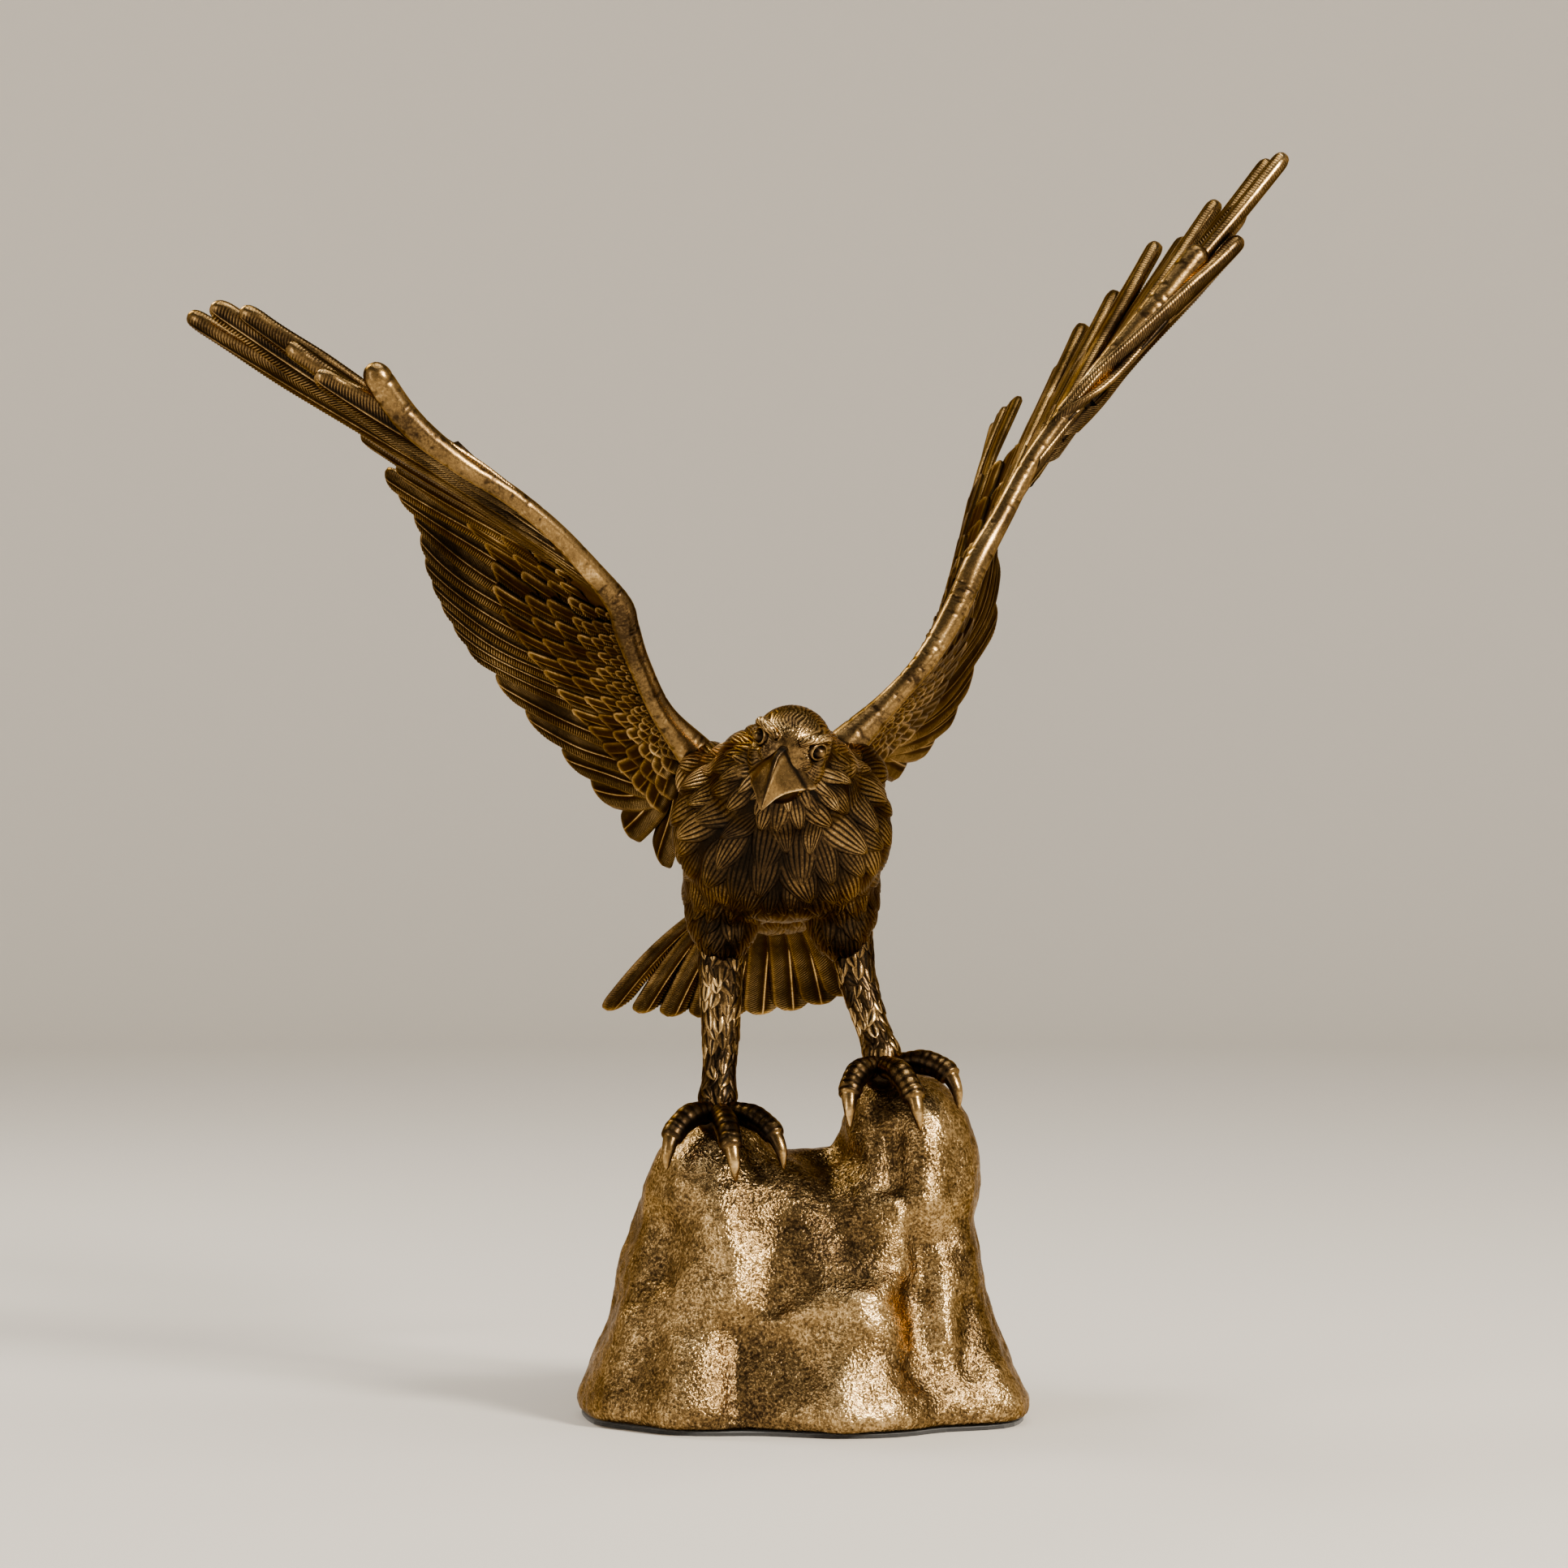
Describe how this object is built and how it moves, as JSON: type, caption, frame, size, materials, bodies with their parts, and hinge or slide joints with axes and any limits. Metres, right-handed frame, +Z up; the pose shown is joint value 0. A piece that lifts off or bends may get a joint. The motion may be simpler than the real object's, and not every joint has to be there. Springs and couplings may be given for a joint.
{
  "type": "bronze statuette",
  "caption": "Antique bronze statuette of an eagle with raised wings, standing on a two-peaked rock, for a desk or shelf.",
  "frame": {"origin": "centre of the rock's footprint, on the underside of the felt", "axes": "+Z up; the eagle looks along -Y; +X is towards the eagle's left wing"},
  "size_m": [0.4211, 0.2749, 0.4955],
  "materials": {
    "antique_bronze": "antique bronze plating, dark in the recesses and rubbed golden on the ridges",
    "zinc_steel": "zinc plated",
    "black_steel": "black lacquer",
    "black_felt": "felt"
  },
  "bodies": {
    "root": {"body": "antique_bronze", "right_wing": "antique_bronze", "left_wing": "antique_bronze", "tail_fan": "antique_bronze", "right_leg": "antique_bronze", "left_leg": "antique_bronze", "rock_base": "antique_bronze", "right_wing_grub_screw": "zinc_steel", "left_wing_grub_screw": "zinc_steel", "right_leg_pin": "zinc_steel", "left_leg_pin": "zinc_steel", "right_foot_stud": "zinc_steel", "left_foot_stud": "zinc_steel", "right_foot_washer": "zinc_steel", "left_foot_washer": "zinc_steel", "right_foot_nut": "zinc_steel", "left_foot_nut": "zinc_steel", "cover_screw_1": "zinc_steel", "cover_screw_2": "zinc_steel", "cover_screw_3": "zinc_steel", "cover_screw_4": "zinc_steel", "base_cover_plate": "black_steel", "base_felt": "black_felt"}
  },
  "joints": []
}
